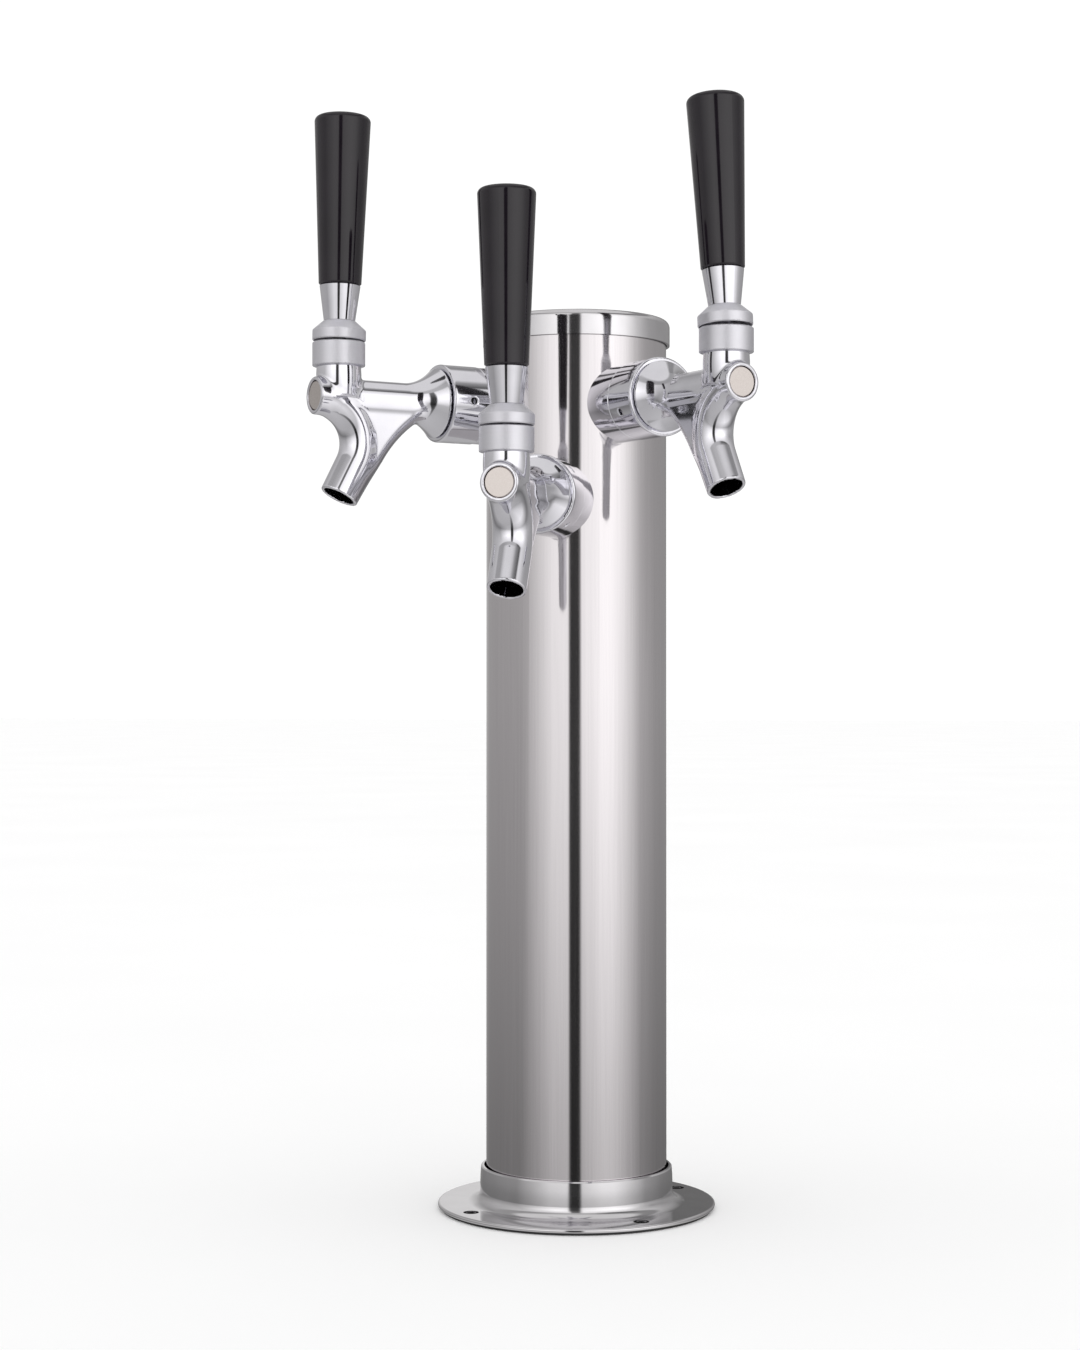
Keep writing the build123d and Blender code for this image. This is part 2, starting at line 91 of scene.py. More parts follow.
def rounded_outline(corners, steps=6):
    """Points and outward normals along a closed outline of (radius, height, fillet) corners.

    The outline runs with the solid on its left.
    """
    points, normals = [], []
    for place, (x, y, fillet) in enumerate(corners):
        here = Vector((x, y))
        before = Vector(corners[place - 1][:2]) - here
        after = Vector(corners[(place + 1) % len(corners)][:2]) - here
        before.normalize()
        after.normalize()
        start = Vector((-before.y, before.x))
        end = Vector((after.y, -after.x))
        half = before.angle(after) / 2
        centre = here + (before + after).normalized() * fillet / math.sin(half)
        side = 1 if start.dot(after) < 0 else -1
        for step in range(steps):
            normal = start.slerp(end, step / (steps - 1))
            points.append(centre + normal * fillet * side)
            normals.append(normal)
    return points, normals


def lathe(name, corners, around=128):
    """A turned ring about Z from its outline's corners, in millimetres."""
    outline, slopes = rounded_outline(corners)
    points, normals, faces = [], [], []
    count = len(outline)
    for turn in range(around):
        angle = 2 * math.pi * turn / around
        across, along = math.cos(angle), math.sin(angle)
        points += [(p.x * across, p.x * along, p.y) for p in outline]
        normals += [(n.x * across, n.x * along, n.y) for n in slopes]
    for turn in range(around):
        here, there = turn * count, (turn + 1) % around * count
        for k in range(count):
            following = (k + 1) % count
            faces.append((here + k, there + k, there + following, here + following))
    return mesh_data(name, points, faces, normals)


# The faucet's casting: one smooth skin round a field of distances.

# A field takes places in a faucet's own frame, u outward, v to the side and w up, in millimetres.
# It gives how far each one is outside the shape's surface, with a minus where it is inside.

# Behind the bell, inside the coupling nut.
BACK_START = 58.5
BACK_COLLAR_R = 13.2
BACK_COLLAR_END = 62.0
SPIGOT_R = 12.1
SPIGOT_INTO_BELL = 1.0

# Barrel, bell and neck.
BARREL_END = 122.5
BARREL_R = 7.4
BELL_START = 67.5
BELL_R = 15.0
BELL_LENGTH = 15.5
BELL_CURVE = 2.1
NECK_AT = 111.5
NECK_R = 8.6
NECK_SWELL = 0.5

# Spout: a hook round a centre, from one angle to another, and then a straight end.
HOOK_CENTRE = (121.0, -18.5)
HOOK_R = 18.4
HOOK_START = math.radians(90)
HOOK_END = math.radians(208)
HOOK_WIDENS_OVER = 0.25
BORE_FROM = math.radians(165)
SPOUT_R = 7.8
SPOUT_MOUTH_R = 7.7
SPOUT_STRAIGHT = 14.6
SPOUT_BORE_R = 6.4

# Web: its lower edge is an arc and then a straight line. The distance to its flat sides counts for
# a little less than the distance to its edge, which makes the rounding between them softer.
WEB_HALF = 7.1
WEB_FOOT_HALF = 5.6
WEB_EDGE_R = 5.0
WEB_SIDE_WEIGHT = 0.8
WEB_ARC = ((74.4, -7.0), (85.0, -15.2), (92.8, -25.5))
WEB_END = (97.6, -33.0)

# Passages: the valve's rooms, the lever's ball and finger, and the port down into the spout.
CHAMBER_R = 9.0
SEAT_AT = 72.0
STEM_BORE_R = 5.0
GUIDE_START = 96.0
GUIDE_BORE_R = 4.5
PLUG_AT = 119.6
PLUG_ROOM_R = 6.0
SOCKET_R = 6.65
SLOT_FRONT = 114.8
SLOT_BACK = 101.8
SLOT_HALF = 2.3
FINGER_ROOM_R = 2.25
PORT_TOP = (91.0, -1.0)
PORT_BOTTOM = (102.5, -17.5)
PORT_R = 4.0

# The lowest and highest corners of the grid that the casting is drawn on.
CASTING_GRID = ((57.0, -17.0, -46.0), (125.0, 17.0, 17.0))

# Fillets between the casting's parts, and the rounding of its edges.
NECK_FILLET = 1.6
WEB_FILLET = 2.5
SPOUT_FILLET = 0.9
BELL_EDGE = 1.2
BACK_EDGE = 0.4
END_EDGE = 0.6
PASSAGE_EDGE = 0.35


def smooth_union(a, b, size):
    """The union of two distance fields, with a fillet of about this size."""
    blend = np.clip(0.5 + 0.5 * (b - a) / size, 0, 1)
    return b + (a - b) * blend - size * blend * (1 - blend)


def smooth_cut(a, b, size):
    """Field a with field b taken away, with a rounded edge of about this size."""
    return -smooth_union(-a, b, size)


def circle_through(first, middle, last):
    """The centre and radius of the circle through three points."""
    (ax, ay), (bx, by), (cx, cy) = first, middle, last
    d = 2 * (ax * (by - cy) + bx * (cy - ay) + cx * (ay - by))
    a2, b2, c2 = ax * ax + ay * ay, bx * bx + by * by, cx * cx + cy * cy
    x = (a2 * (by - cy) + b2 * (cy - ay) + c2 * (ay - by)) / d
    y = (a2 * (cx - bx) + b2 * (ax - cx) + c2 * (bx - ax)) / d
    return (x, y), math.hypot(ax - x, ay - y)


def barrel_field(u, v, w):
    """The turned barrel with the bell at its back."""
    share = np.clip((BELL_START + BELL_LENGTH - u) / BELL_LENGTH, 0, 1)
    swell = share**BELL_CURVE
    radius = BARREL_R + (BELL_R - BARREL_R) * swell
    slope = (BELL_R - BARREL_R) * BELL_CURVE * share ** (BELL_CURVE - 1) / BELL_LENGTH
    side = (np.hypot(v, w) - radius) / np.sqrt(1 + slope**2)
    ends = np.maximum(u - BARREL_END, BELL_START - u)
    return smooth_cut(side, -ends, BELL_EDGE)


def spigot_field(u, v, w):
    """The collar and spigot behind the bell, which the coupling nut holds."""
    out = np.hypot(v, w)
    collar = smooth_cut(out - BACK_COLLAR_R, BACK_COLLAR_END - u, BACK_EDGE)
    spigot = np.maximum(out - SPIGOT_R, u - BELL_START - SPIGOT_INTO_BELL)
    return smooth_cut(np.minimum(collar, spigot), u - BACK_START, BACK_EDGE)


def neck_field(u, v, w):
    """The upright neck under the bonnet, swelling a little at its middle."""
    radius = NECK_R + NECK_SWELL * np.sin(np.clip(w / PIVOT_UP, 0, 1) * math.pi)
    side = np.hypot(u - NECK_AT, v) - radius
    return np.maximum(side, np.maximum(w - PIVOT_UP, -w))


def spout_field(u, v, w):
    """The hooked tube and its straight end, before it is bored."""
    turn, off = hook_axis(u, v, w, HOOK_START)
    share = (turn - HOOK_START) / (HOOK_END - HOOK_START)
    hook = off - (BARREL_R + (SPOUT_R - BARREL_R) * np.clip(share / HOOK_WIDENS_OVER, 0, 1))
    along, off = spout_axis(u, v, w)
    thin = SPOUT_R + (SPOUT_MOUTH_R - SPOUT_R) * np.clip(along / SPOUT_STRAIGHT, 0, 1)
    straight = np.maximum(off - thin, -along)
    return np.minimum(hook, straight)


def hook_axis(u, v, w, start):
    """How far round the hook each point is, and how far it is off the hook's centre line."""
    x, z = u - HOOK_CENTRE[0], w - HOOK_CENTRE[1]
    turn = np.clip(np.arctan2(z, x) % (2 * math.pi), start, HOOK_END)
    off = np.sqrt((x - HOOK_R * np.cos(turn)) ** 2 + v**2 + (z - HOOK_R * np.sin(turn)) ** 2)
    return turn, off


def spout_axis(u, v, w):
    """How far each point is along the spout's straight end, and how far it is off its axis."""
    start_u = HOOK_CENTRE[0] + HOOK_R * math.cos(HOOK_END)
    start_w = HOOK_CENTRE[1] + HOOK_R * math.sin(HOOK_END)
    down = (-math.sin(HOOK_END), math.cos(HOOK_END))
    along = (u - start_u) * down[0] + (w - start_w) * down[1]
    across = (u - start_u) * down[1] - (w - start_w) * down[0]
    return along, np.hypot(across, v)


def web_field(u, v, w):
    """The rib behind the spout, flush with the barrel and thinner at its foot."""
    centre, radius = circle_through(*WEB_ARC)
    sweep = radius - np.hypot(u - centre[0], w - centre[1])
    run = (WEB_END[0] - WEB_ARC[2][0], WEB_END[1] - WEB_ARC[2][1])
    back = ((u - WEB_END[0]) * run[1] - (w - WEB_END[1]) * run[0]) / math.hypot(*run)
    edge = np.where(w < WEB_ARC[2][1], back, sweep)
    outside_hook = np.hypot(u - HOOK_CENTRE[0], w - HOOK_CENTRE[1]) - HOOK_R
    along, _ = spout_axis(u, 0, w)
    side = np.maximum(np.maximum(edge, -outside_hook), along - SPOUT_STRAIGHT)
    side = np.maximum(side, w)
    share = np.clip(w / WEB_END[1], 0, 1)
    half = WEB_HALF + (WEB_FOOT_HALF - WEB_HALF) * share**2
    flat = (np.abs(v) - half) * WEB_SIDE_WEIGHT
    outer = np.hypot(np.maximum(side + WEB_EDGE_R, 0), np.maximum(flat + WEB_EDGE_R, 0))
    inner = np.minimum(np.maximum(side, flat) + WEB_EDGE_R, 0)
    return outer + inner - WEB_EDGE_R


def port_field(u, v, w):
    """The slanted hole from the barrel's bore down into the spout."""
    run_u, run_w = PORT_BOTTOM[0] - PORT_TOP[0], PORT_BOTTOM[1] - PORT_TOP[1]
    share = ((u - PORT_TOP[0]) * run_u + (w - PORT_TOP[1]) * run_w) / (run_u**2 + run_w**2)
    share = np.clip(share, 0, 1)
    off_u, off_w = u - PORT_TOP[0] - share * run_u, w - PORT_TOP[1] - share * run_w
    return np.sqrt(off_u**2 + v**2 + off_w**2) - PORT_R


def slot_field(u, v, w):
    """The room that the lever's finger swings in, from the ball down to the shaft's bore."""
    tilt = math.radians(LEVER_TILT)
    back = (w - PIVOT_UP) * math.sin(tilt) - (u - NECK_AT) * math.cos(tilt) - FINGER_ROOM_R
    ends = np.maximum(u - SLOT_FRONT, SLOT_BACK - u)
    return np.maximum(np.maximum(back, ends), np.maximum(np.abs(v) - SLOT_HALF, -w))


def passage_field(u, v, w):
    """The beer's way from the back to the spout, and the rooms of the valve and the lever's ball."""
    out = np.hypot(v, w)
    chamber = np.maximum(out - CHAMBER_R, u - SEAT_AT)
    stem_bore = np.maximum(out - STEM_BORE_R, u - GUIDE_START)
    guide_bore = np.maximum(out - GUIDE_BORE_R, u - BARREL_END)
    plug_room = np.maximum(out - PLUG_ROOM_R, PLUG_AT - u)
    barrel = np.minimum(np.minimum(chamber, stem_bore), np.minimum(guide_bore, plug_room))
    socket = np.sqrt((u - NECK_AT) ** 2 + v**2 + (w - PIVOT_UP) ** 2) - SOCKET_R
    lever = np.minimum(socket, slot_field(u, v, w))
    along, off = spout_axis(u, v, w)
    _, off_hook = hook_axis(u, v, w, BORE_FROM)
    straight = np.maximum(off - SPOUT_BORE_R, -along)
    spout = np.minimum(np.minimum(straight, off_hook - SPOUT_BORE_R), port_field(u, v, w))
    return np.minimum(np.minimum(barrel, lever), spout)


def casting_field(u, v, w):
    """The whole casting: barrel, neck, web and spout, with the passages through it."""
    barrel = np.minimum(barrel_field(u, v, w), spigot_field(u, v, w))
    body = smooth_union(barrel, neck_field(u, v, w), NECK_FILLET)
    body = smooth_union(body, web_field(u, v, w), WEB_FILLET)
    body = smooth_union(body, spout_field(u, v, w), SPOUT_FILLET)
    along, _ = spout_axis(u, v, w)
    body = smooth_cut(body, SPOUT_STRAIGHT - along, END_EDGE)
    body = smooth_cut(body, BARREL_END - u, END_EDGE)
    return smooth_cut(body, passage_field(u, v, w), PASSAGE_EDGE)


# The coupling nut: a smooth round nut with four holes for a spanner's pin.

NUT_START = 50.6
NUT_END = 67.0
NUT_R = 16.0
NUT_ROOM_R = 13.4
NUT_LIP_AT = 62.0
NUT_LIP_R = 12.2
NUT_HOLE_AT = 58.0
NUT_HOLE_R = 1.4
NUT_HOLES = 4
NUT_BACK_EDGE = 0.5
NUT_FRONT_EDGE = 1.0
NUT_HOLE_EDGE = 0.4
NUT_GRID = ((49.0, -17.5, -17.5), (69.0, 17.5, 17.5))


def nut_field(u, v, w):
    """A rounded ring with a room for the shank's head, a lip, and the spanner's holes."""
    out = np.hypot(v, w)
    ring = np.maximum(out - NUT_R, NUT_ROOM_R - out)
    front = np.maximum(out - NUT_R, NUT_LIP_R - out)
    ring = np.minimum(ring, np.maximum(front, NUT_LIP_AT - u))
    nut = smooth_cut(ring, u - NUT_START, NUT_BACK_EDGE)
    nut = smooth_cut(nut, NUT_END - u, NUT_FRONT_EDGE)
    for hole in range(NUT_HOLES):
        angle = 2 * math.pi * hole / NUT_HOLES
        up = w * math.cos(angle) - v * math.sin(angle)
        aside = v * math.cos(angle) + w * math.sin(angle)
        drill = np.maximum(np.hypot(u - NUT_HOLE_AT, aside) - NUT_HOLE_R, -up)
        nut = smooth_cut(nut, drill, NUT_HOLE_EDGE)
    return nut


# Skins

# Spacing of the grid that a skin is drawn on, how often its points are pulled onto the field, and
# the least slope that a point is pulled by.
GRID_STEP = 0.6
SETTLE_ROUNDS = 3
LEAST_SLOPE = 1e-6


def surface_net(field, low, high, step):
    """A quad skin of a field's zero level, its points pulled exactly onto it, and its normals."""
    axes = [np.arange(a, b + step, step) for a, b in zip(low, high)]
    value = field(*np.meshgrid(*axes, indexing="ij", sparse=True))
    points, index = net_points(value)
    faces = net_faces(value < 0, index)
    points = points * step + np.array(low)
    for _ in range(SETTLE_ROUNDS):
        slope, here = gradient(field, points)
        size = np.maximum((slope**2).sum(1), LEAST_SLOPE)
        points = points - slope * (here / size)[:, None]
    slope, _ = gradient(field, points)
    normals = slope / np.maximum(np.linalg.norm(slope, axis=1), LEAST_SLOPE)[:, None]
    return points, faces, normals


def cell_edges():
    """The twelve edges of a grid cell: each one's axis, and the corners that it starts and ends at."""
    for axis in range(3):
        for other in (0, 1):
            for one in (0, 1):
                start, end = [one, other], [one, other]
                start.insert(axis, 0)
                end.insert(axis, 1)
                yield axis, start, end


def net_points(value):
    """A point in each grid cell that the zero level crosses, and the number of each cell's point."""
    inside = value < 0
    shape = tuple(n - 1 for n in value.shape)
    total = np.zeros(shape + (3,))
    count = np.zeros(shape)
    for axis, start, end in cell_edges():
        first = tuple(slice(a, a + n) for a, n in zip(start, shape))
        last = tuple(slice(a, a + n) for a, n in zip(end, shape))
        crossed = inside[first] != inside[last]
        drop = np.where(crossed, value[first] - value[last], 1)
        point = np.zeros(shape + (3,)) + start
        point[..., axis] += np.where(crossed, value[first] / drop, 0)
        total += point * crossed[..., None]
        count += crossed
    used = count > 0
    index = np.full(shape, -1)
    index[used] = np.arange(used.sum())
    return np.argwhere(used) + total[used] / count[used][:, None], index


def net_faces(inside, index):
    """A face across each grid edge that the zero level crosses, wound to face outward."""
    faces = []
    for axis in range(3):
        others = [(axis + 1) % 3, (axis + 2) % 3]
        here = [slice(1, n) for n in index.shape]
        here[axis] = slice(0, index.shape[axis])
        following = list(here)
        following[axis] = slice(1, index.shape[axis] + 1)
        before, after = inside[tuple(here)], inside[tuple(following)]
        at = np.argwhere(before != after)
        at[:, others] += 1
        ring = []
        for back in ((1, 1), (0, 1), (0, 0), (1, 0)):
            cell = at.copy()
            cell[:, others] -= back
            ring.append(index[tuple(cell.T)])
        quads = np.stack(ring, axis=1)
        flip = ~before[before != after]
        quads[flip] = quads[flip][:, ::-1]
        faces.append(quads)
    return np.concatenate(faces).tolist()


def gradient(field, points, step=0.02):
    """The field and its slope at each point."""
    here = field(*points.T)
    slope = []
    for axis in range(3):
        nudge = np.zeros(3)
        nudge[axis] = step
        slope.append((field(*(points + nudge).T) - field(*(points - nudge).T)) / (2 * step))
    return np.stack(slope, axis=1), here


# Pieces


def share_piece(name, mesh, place, body, node):
    """One more copy of a shared mesh, riding on a body in place of a CAD node."""
    piece = bpy.data.objects.new(name, mesh)
    bpy.context.scene.collection.objects.link(piece)
    piece.matrix_world = place
    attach(piece, body)
    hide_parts(node)


def make_castings(material):
    """Each faucet's casting, all three with the same mesh."""
    mesh = mesh_data("casting", *surface_net(casting_field, *CASTING_GRID, GRID_STEP))
    mesh.materials.append(material)
    for side in SIDES:
        place = faucet_frame(side)
        share_piece(f"casting_{side}", mesh, place, "tower", f"faucet_body_{side}")


def make_nuts(material):
    """Each faucet's coupling nut, turned as far round as it is when it is tight."""
    mesh = mesh_data("nut", *surface_net(nut_field, *NUT_GRID, GRID_STEP))
    mesh.materials.append(material)
    for side in SIDES:
        turn = Matrix.Rotation(math.radians(NUT_TURNS[side]), 4, "X")
        place = faucet_frame(side) @ turn
        share_piece(f"nut_{side}", mesh, place, "tower", f"coupling_nut_{side}")


# The two satin rings round the neck, about the lever's pivot, as (radius, height, fillet) corners.

BONNET_OUTLINE = (
    (8.7, -2.8, 0.1), (10.6, -2.8, 0.4), (10.6, 6.5, 0.35), (10.0, 6.95, 0.2),
    (8.5, 6.95, 0.3), (6.6, 2.5, 0.2), (8.7, 2.2, 0.1),
)
COLLAR_OUTLINE = (
    (10.2, 7.5, 0.05), (10.45, 7.45, 0.08), (10.75, 7.9, 0.25), (10.75, 11.6, 0.8),
    (6.55, 15.3, 0.5), (5.0, 15.3, 0.1), (5.0, 11.6, 0.3), (8.2, 9.7, 2.0),
)


def make_rings(material):
    """A bonnet on each faucet and a collar on each lever, turned with rounded edges."""
    bonnet = lathe("bonnet", BONNET_OUTLINE)
    collar = lathe("collar", COLLAR_OUTLINE)
    bonnet.materials.append(material)
    collar.materials.append(material)
    for side in SIDES:
        upright = faucet_frame(side) @ Matrix.Translation((NECK_AT * MM, 0, PIVOT_UP * MM))
        lean = math.radians(JOINTS[f"lever_{side}"]["range_deg"][1] - LEVER_TILT)
        leaning = upright @ Matrix.Rotation(-lean, 4, "Y")
        body, node = f"lever_{side}", f"lever_collar_{side}"
        share_piece(f"bonnet_ring_{side}", bonnet, upright, "tower", f"bonnet_{side}")
        share_piece(f"collar_ring_{side}", collar, leaning, body, node)


# Materials


def new_material(name):
    """An empty node material with its output and a Principled shader."""
    material = bpy.data.materials.new(name)
    material.use_nodes = True
    nodes = material.node_tree.nodes
    nodes.clear()
    output = nodes.new("ShaderNodeOutputMaterial")
    shader = nodes.new("ShaderNodeBsdfPrincipled")
    material.node_tree.links.new(shader.outputs["BSDF"], output.inputs["Surface"])
    return material, shader


def noise(material, scale, detail=3.0, roughness=0.5, stretch=(1, 1, 1)):
    """A noise texture in the object's own space, stretched along each axis."""
    nodes, links = material.node_tree.nodes, material.node_tree.links
    space = nodes.new("ShaderNodeTexCoord")
    mapping = nodes.new("ShaderNodeMapping")
    mapping.inputs["Scale"].default_value = stretch
    texture = nodes.new("ShaderNodeTexNoise")
    texture.inputs["Scale"].default_value = scale
    texture.inputs["Detail"].default_value = detail
    texture.inputs["Roughness"].default_value = roughness
    links.new(space.outputs["Object"], mapping.inputs["Vector"])
    links.new(mapping.outputs["Vector"], texture.inputs["Vector"])
    return texture.outputs["Fac"]


def spread(material, value, low, high, start=0.3, end=0.7):
    """A 0 to 1 value stretched to run from low to high."""
    nodes, links = material.node_tree.nodes, material.node_tree.links
    node = nodes.new("ShaderNodeMapRange")
    node.inputs["From Min"].default_value = start
    node.inputs["From Max"].default_value = end
    node.inputs["To Min"].default_value = low
    node.inputs["To Max"].default_value = high
    links.new(value, node.inputs["Value"])
    return node.outputs["Result"]


def tint(material, value, first, last, start=0.3, end=0.7):
    """A colour that runs from the first to the last with a 0 to 1 value."""
    nodes, links = material.node_tree.nodes, material.node_tree.links
    ramp = nodes.new("ShaderNodeValToRGB")
    ramp.color_ramp.elements[0].position = start
    ramp.color_ramp.elements[0].color = (*first, 1)
    ramp.color_ramp.elements[1].position = end
    ramp.color_ramp.elements[1].color = (*last, 1)
    links.new(value, ramp.inputs["Fac"])
    return ramp.outputs["Color"]


def bump(material, shader, value, height, strength=1.0):
    """Small relief from a 0 to 1 value, of this height in metres."""
    nodes, links = material.node_tree.nodes, material.node_tree.links
    node = nodes.new("ShaderNodeBump")
    node.inputs["Distance"].default_value = height
    node.inputs["Strength"].default_value = strength
    links.new(value, node.inputs["Height"])
    links.new(node.outputs["Normal"], shader.inputs["Normal"])


def mottled(name, dark, light, roughness, scale, stretch=(1, 1, 1)):
    """A material whose colour and roughness vary a little with a noise, and its shader."""
    material, shader = new_material(name)
    links = material.node_tree.links
    patches = noise(material, scale, stretch=stretch)
    links.new(tint(material, patches, dark, light), shader.inputs["Base Color"])
    links.new(spread(material, patches, *roughness), shader.inputs["Roughness"])
    return material, shader


def metal(name, dark, light, roughness, scale, stretch=(1, 1, 1)):
    """A mottled metal."""
    material, shader = mottled(name, dark, light, roughness, scale, stretch)
    shader.inputs["Metallic"].default_value = 1.0
    return material, shader


def column_steel():
    """Polished stainless steel with a fine grain along the column."""
    dark, light = (0.665, 0.64, 0.655), (0.70, 0.675, 0.69)
    stretch = (1, 1, 0.01)
    material, shader = metal("column_steel", dark, light, (0.06, 0.1), scale=1500, stretch=stretch)
    grain = noise(material, scale=2600, detail=2, stretch=(1, 1, 0.004))
    bump(material, shader, grain, height=0.001 * MM, strength=0.4)
    return material


def polished_steel():
    """Brighter polished steel, for the cap and the flange."""
    dark, light = (0.66, 0.65, 0.665), (0.71, 0.70, 0.72)
    material, _ = metal("polished_steel", dark, light, (0.06, 0.1), scale=90)
    return material


def chrome():
    """Bright chrome plate with faint handling marks."""
    dark, light = (0.75, 0.745, 0.79), (0.80, 0.795, 0.84)
    material, shader = metal("chrome", dark, light, (0.04, 0.08), scale=120)
    marks = noise(material, scale=180, detail=1)
    bump(material, shader, marks, height=0.02 * MM, strength=0.15)
    return material


def satin_chrome():
    """Chrome over a bead-blasted surface, for the two rings round the neck."""
    dark, light = (0.79, 0.785, 0.83), (0.82, 0.815, 0.86)
    stretch = (1, 1, 4)
    material, shader = metal("satin_chrome", dark, light, (0.42, 0.5), scale=300, stretch=stretch)
    grain = noise(material, scale=1500, detail=2, stretch=(0.05, 0.05, 4))
    bump(material, shader, grain, height=0.003 * MM, strength=0.3)
    return material


def satin_plug():
    """A warm grey matte metal, for the plugs in the front of the barrels."""
    dark, light = (0.61, 0.56, 0.53), (0.66, 0.61, 0.58)
    material, shader = metal("satin_plug", dark, light, (0.18, 0.25), scale=900)
    grain = noise(material, scale=3000, detail=2)
    bump(material, shader, grain, height=0.004 * MM, strength=0.3)
    return material


def brass():
    """Bare brass, for the pieces inside the column."""
    dark, light = (0.62, 0.45, 0.20), (0.74, 0.57, 0.28)
    material, _ = metal("brass", dark, light, (0.2, 0.32), scale=300)
    return material


def black_plastic():
    """Moulded black plastic, semi-gloss, with a faint orange-peel surface."""
    dark, light = (0.006, 0.004, 0.007), (0.010, 0.007, 0.011)
    material, shader = mottled("black_plastic", dark, light, (0.07, 0.11), scale=60)
    peel = noise(material, scale=900, detail=2)
    bump(material, shader, peel, height=0.004 * MM, strength=0.25)
    return material


def rubber():
    """Soft black rubber, for the gaskets and washers."""
    dark, light = (0.012, 0.012, 0.012), (0.03, 0.03, 0.03)
    material, shader = mottled("rubber", dark, light, (0.5, 0.7), scale=400)
    bump(material, shader, noise(material, scale=1600, detail=2), height=0.03 * MM, strength=0.5)
    return material


def white_plastic():
    """Moulded white plastic, for the ball washers."""
    dark, light = (0.72, 0.72, 0.7), (0.8, 0.8, 0.78)
    material, shader = mottled("white_plastic", dark, light, (0.35, 0.5), scale=300)
    bump(material, shader, noise(material, scale=1200, detail=2), height=0.01 * MM, strength=0.5)
    return material


def foam():
    """Dark open foam, for the sleeve round the beer lines."""
    dark, light = (0.03, 0.03, 0.035), (0.08, 0.08, 0.09)
    material, shader = mottled("foam", dark, light, (0.8, 0.95), scale=500)
    bump(material, shader, noise(material, scale=2000, detail=2), height=0.2 * MM, strength=0.5)
    return material


def make_materials():
    """One material for each slot of the record."""
    return {
        "brushed_column": column_steel(),
        "polished_steel": polished_steel(),
        "chrome": chrome(),
        "satin_chrome": satin_chrome(),
        "satin_plug": satin_plug(),
        "black_plastic": black_plastic(),
        "brass": brass(),
        "rubber": rubber(),
        "white_plastic": white_plastic(),
        "foam": foam(),
    }


def paint_frame(materials):
    """Gives each CAD node the material of its slot in the record."""
    for part in frame["record"]["subparts"]:
        node = frame["nodes"][part["node"]]
        for slot in node.material_slots:
            slot.material = materials[part["material_slot"]]


# Stage, light and camera

# How bright the studio's walls are from -180 to 180 degrees round the camera's own direction,
# positive to the camera's right. The dark stripe is the gap that the camera stands in.
WALLS = (
    (-180, 0.6), (-150, 0.4), (-75, 0.45), (-45, 0.85), (-30, 1.1), (-10, 1.15), (-8, 0.05),
    (4, 0.05), (7, 1.05), (30, 1.4), (45, 1.4), (60, 1.15), (90, 0.55), (120, 0.4), (180, 0.3),
)


def dimmed(stops, share):
    """The same ring of the studio with a share of its light."""
    return tuple((degrees, value * share) for degrees, value in stops)


# The studio's rings from straight down to overhead, each with its elevation in degrees. The walls
# get darker towards the floor.
STUDIO = (
    (-90, ((-180, 0.6), (180, 0.6))),
    (-30, ((-180, 0.5), (-60, 0.5), (-9, 0.5), (-6, 0.12), (5, 0.12), (8, 0.7), (60, 1.1),
           (90, 0.9), (120, 0.4), (180, 0.5))),
    (-11, dimmed(WALLS, 0.5)),
    (-5, dimmed(WALLS, 0.8)),
    (0, WALLS),
    (14, ((-180, 0.85), (-150, 0.45), (-70, 0.6), (-50, 1.0), (-25, 1.45), (-10, 1.35),
          (-8, 0.05), (4, 0.05), (7, 1.25), (28, 1.5), (45, 1.6), (62, 1.45), (80, 0.75),
          (100, 0.4), (150, 0.35), (180, 0.12))),
    (36, ((-180, 0.5), (-150, 0.35), (-60, 0.8), (-8, 1.0), (-6, 0.2), (4, 0.2), (8, 1.1),
          (80, 0.8), (180, 0.4))),
    (40, ((-180, 0.4), (-60, 0.4), (-20, 0.55), (25, 0.55), (45, 0.1), (80, 0.1), (95, 0.3),
          (180, 0.3))),
    (50, ((-180, 0.4), (-60, 0.4), (-20, 0.55), (25, 0.55), (45, 0.35), (80, 0.35), (180, 0.3))),
    (56, ((-180, 0.8), (180, 0.8))),
)
BRIGHTEST = 2.0
STUDIO_COLOUR = (1, 0.99, 0.985, 1)
WHITE_LEVEL = 1.06


def make_world():
    """White behind the object, and a studio of soft panels for what the metal mirrors."""
    world = bpy.data.worlds.new("studio")
    bpy.context.scene.world = world
    world.use_nodes = True
    nodes, links = world.node_tree.nodes, world.node_tree.links
    nodes.clear()
    studio = nodes.new("ShaderNodeBackground")
    studio.inputs["Color"].default_value = STUDIO_COLOUR
    links.new(studio_level(world), studio.inputs["Strength"])
    white = nodes.new("ShaderNodeBackground")
    white.inputs["Color"].default_value = (1, 1, 1, 1)
    white.inputs["Strength"].default_value = WHITE_LEVEL
    rays = nodes.new("ShaderNodeLightPath")
    mix = nodes.new("ShaderNodeMixShader")
    output = nodes.new("ShaderNodeOutputWorld")
    links.new(rays.outputs["Is Glossy Ray"], mix.inputs["Fac"])
    links.new(white.outputs["Background"], mix.inputs[1])
    links.new(studio.outputs["Background"], mix.inputs[2])
    links.new(mix.outputs["Shader"], output.inputs["Surface"])


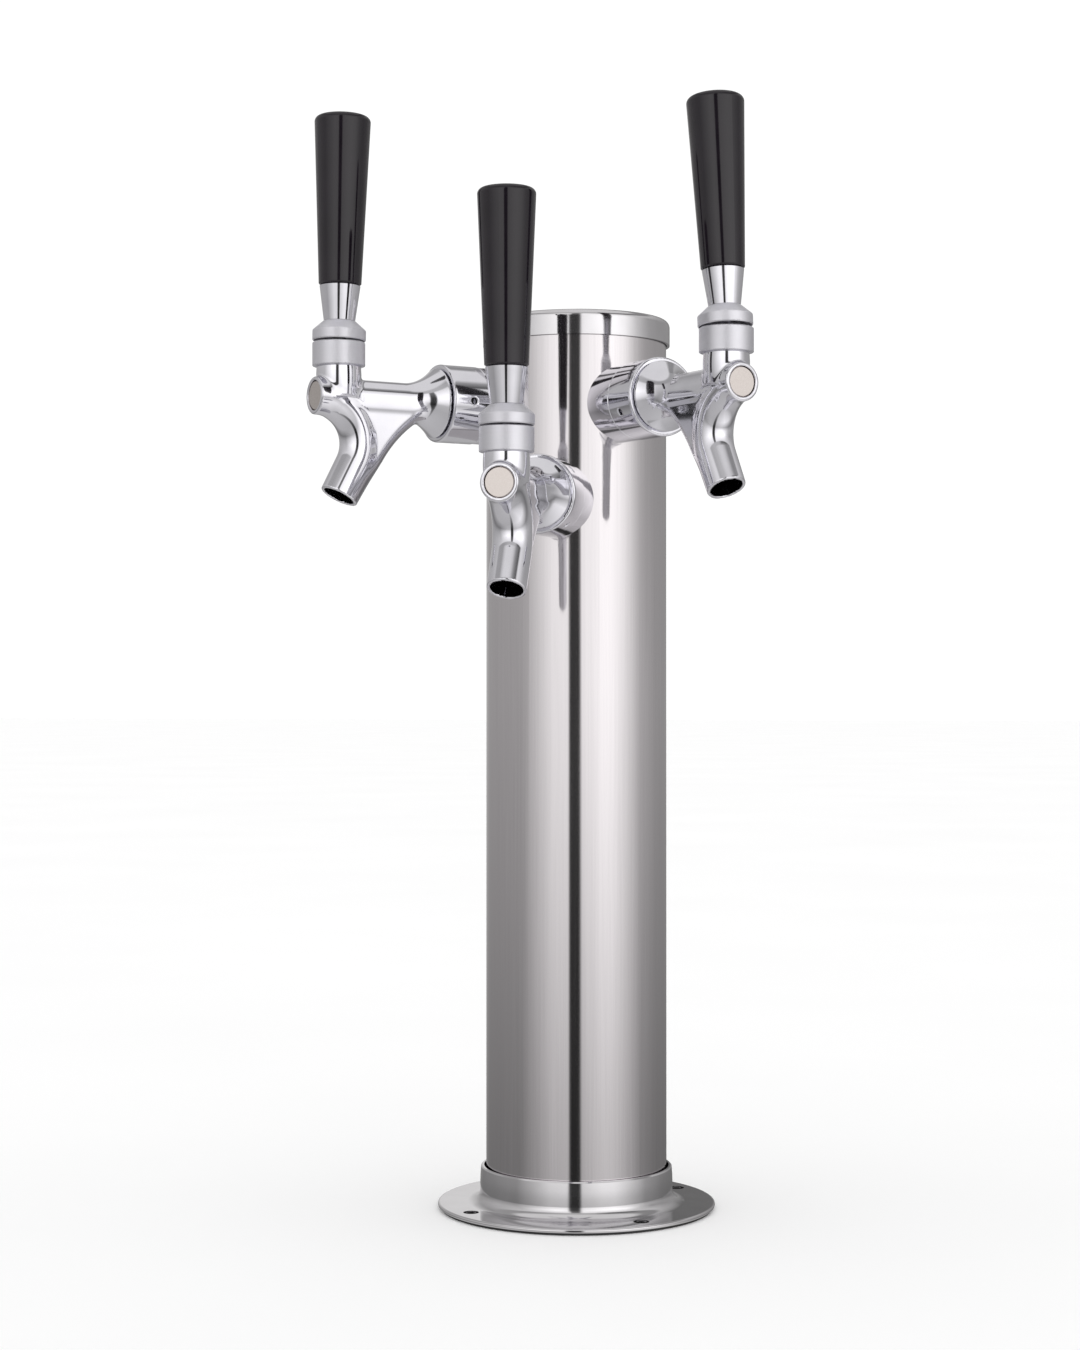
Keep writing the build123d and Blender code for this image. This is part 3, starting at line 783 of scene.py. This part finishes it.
def studio_level(world):
    """The studio's brightness in every direction: its rings, blended from one to the next."""
    nodes, links = world.node_tree.nodes, world.node_tree.links
    around, above = studio_direction(world)
    level = ring_of(world, STUDIO[0][1], around)
    for (low, _), (high, stops) in zip(STUDIO, STUDIO[1:]):
        share = nodes.new("ShaderNodeMapRange")
        share.inputs["From Min"].default_value = math.radians(low)
        share.inputs["From Max"].default_value = math.radians(high)
        links.new(above, share.inputs["Value"])
        blend = nodes.new("ShaderNodeMix")
        links.new(share.outputs["Result"], blend.inputs["Factor"])
        links.new(level, blend.inputs["A"])
        links.new(ring_of(world, stops, around), blend.inputs["B"])
        level = blend.outputs["Result"]
    return math_node(world, "MULTIPLY", level, BRIGHTEST)


def studio_direction(world):
    """A direction's place round the studio, from 0 to 1, and its elevation in radians."""
    nodes, links = world.node_tree.nodes, world.node_tree.links
    space = nodes.new("ShaderNodeTexCoord")
    turn = nodes.new("ShaderNodeMapping")
    turn.inputs["Rotation"].default_value = (0, 0, -math.atan2(CAMERA_AT.x, -CAMERA_AT.y))
    split = nodes.new("ShaderNodeSeparateXYZ")
    links.new(space.outputs["Generated"], turn.inputs["Vector"])
    links.new(turn.outputs["Vector"], split.inputs["Vector"])
    forward = math_node(world, "MULTIPLY", split.outputs["Y"], -1.0)
    around = math_node(world, "ARCTAN2", split.outputs["X"], forward)
    around = math_node(world, "MULTIPLY_ADD", around, 0.5 / math.pi, 0.5)
    return around, math_node(world, "ARCSINE", split.outputs["Z"])


def ring_of(world, stops, around):
    """One elevation's brightness round the camera, as a share of the brightest."""
    ramp = world.node_tree.nodes.new("ShaderNodeValToRGB")
    elements = ramp.color_ramp.elements
    for _ in range(len(stops) - 2):
        elements.new(0.5)
    for element, (degrees, value) in zip(elements, stops):
        element.position = (degrees + 180) / 360
        share = value / BRIGHTEST
        element.color = (share, share, share, 1)
    world.node_tree.links.new(around, ramp.inputs["Fac"])
    return ramp.outputs["Color"]


def math_node(world, operation, first, second=None, third=None):
    """A math node on a socket, with numbers or sockets as its other inputs."""
    node = world.node_tree.nodes.new("ShaderNodeMath")
    node.operation = operation
    for place, value in enumerate((first, second, third)):
        if value is None:
            continue
        if isinstance(value, (int, float)):
            node.inputs[place].default_value = value
        else:
            world.node_tree.links.new(value, node.inputs[place])
    return node.outputs["Value"]


def make_floor():
    """A wide pale floor under the object."""
    half = FLOOR_SIZE / MM / 2
    corners = [(-half, -half, 0), (half, -half, 0), (half, half, 0), (-half, half, 0)]
    mesh = mesh_data("floor", corners, [(0, 1, 2, 3)], [(0, 0, 1)] * 4)
    floor = bpy.data.objects.new("floor", mesh)
    bpy.context.scene.collection.objects.link(floor)
    material, shader = new_material("floor")
    pale = tint(material, noise(material, 3), (0.95, 0.95, 0.95), (0.97, 0.97, 0.97))
    material.node_tree.links.new(pale, shader.inputs["Base Color"])
    shader.inputs["Roughness"].default_value = 0.9
    floor.data.materials.append(material)
    floor.visible_glossy = False


def make_camera():
    """The camera, a little to the right of the front faucet and level with the column's middle."""
    camera = bpy.data.cameras.new("camera")
    camera.lens = CAMERA_LENS
    camera.clip_start = 0.01
    eye = bpy.data.objects.new("camera", camera)
    eye.location = CAMERA_AT
    eye.rotation_euler = (CAMERA_PITCH, 0, CAMERA_TURN)
    bpy.context.scene.collection.objects.link(eye)
    bpy.context.scene.camera = eye


make_camera()
make_world()
make_floor()
MATERIALS = make_materials()
paint_frame(MATERIALS)
make_castings(MATERIALS["chrome"])
make_nuts(MATERIALS["chrome"])
make_rings(MATERIALS["satin_chrome"])
bpy.context.scene.view_settings.view_transform = "Standard"
